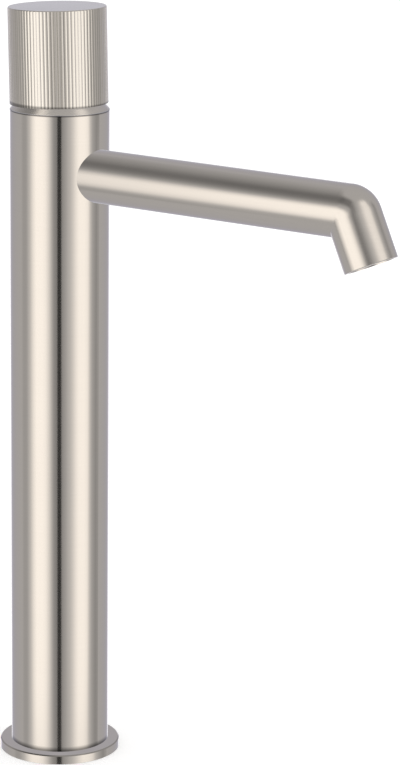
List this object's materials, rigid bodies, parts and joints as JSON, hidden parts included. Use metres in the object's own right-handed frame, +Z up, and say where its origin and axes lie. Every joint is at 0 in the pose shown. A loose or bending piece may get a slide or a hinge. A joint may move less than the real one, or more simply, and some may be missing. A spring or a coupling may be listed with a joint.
{
  "type": "basin mixer tap",
  "caption": "Tall single-lever basin mixer: round column on a foot ring, fluted joystick knob on top and a straight round spout turned down at its end.",
  "frame": {"origin": "the middle of the face that stands on the basin or worktop, on the column's axis", "axes": "+Z up the column, +X along the spout, +Y completes a right-handed frame (the hot side)"},
  "size_m": [0.2065, 0.0554, 0.3479],
  "materials": {
    "brushed_nickel": "fine brushed nickel",
    "brushed_nickel_knob": "bright fluted nickel with a brushed top",
    "aerator_metal": "satin",
    "white_plastic": "moulded",
    "grey_plastic": "moulded",
    "black_rubber": "matt",
    "raw_brass": "machined",
    "copper": "drawn copper tube",
    "ceramic": "lapped alumina ceramic",
    "stainless": "turned steel"
  },
  "bodies": {
    "tap_body": {"body_column": "brushed_nickel", "flange_ring": "brushed_nickel", "spout_tube": "brushed_nickel", "collar_ring": "brushed_nickel", "aerator_housing": "aerator_metal", "aerator_screen": "aerator_metal", "aerator_insert": "white_plastic", "aerator_seal": "black_rubber", "base_gasket": "black_rubber", "base_block": "raw_brass", "riser_pipe_hot": "copper", "riser_pipe_cold": "copper", "riser_o_rings": "black_rubber", "valve_block": "raw_brass", "valve_block_o_rings": "black_rubber", "retaining_nut": "raw_brass", "cartridge_base": "grey_plastic", "port_seals": "black_rubber", "fixed_ceramic_disc": "ceramic", "cartridge_housing": "grey_plastic"},
    "turret": {"stem_turret": "white_plastic", "pivot_pin": "stainless"},
    "disc_slider": {"moving_ceramic_disc": "ceramic", "disc_carrier": "grey_plastic"},
    "handle": {"lever_stem": "raw_brass", "knob": "brushed_nickel_knob", "knob_grub_screw": "stainless"}
  },
  "joints": [
    {"name": "temperature_turn", "type": "hinge", "parent": "tap_body", "child": "turret", "pos_m": [0, 0, 0.2884], "axis": [0, 0, 1], "range_deg": [-45, 45]},
    {"name": "flow_tilt", "type": "hinge", "parent": "turret", "child": "handle", "pos_m": [0, 0, 0.2884], "axis": [0, 1, 0], "range_deg": [0, 14]},
    {"name": "disc_slide", "type": "slide", "parent": "turret", "child": "disc_slider", "axis": [1, 0, 0], "range_m": [-0.0037, 0.0001]}
  ],
  "couplings": [
    {"joint": "disc_slide", "follows": "flow_tilt", "m_per_rad": -0.014397}
  ]
}
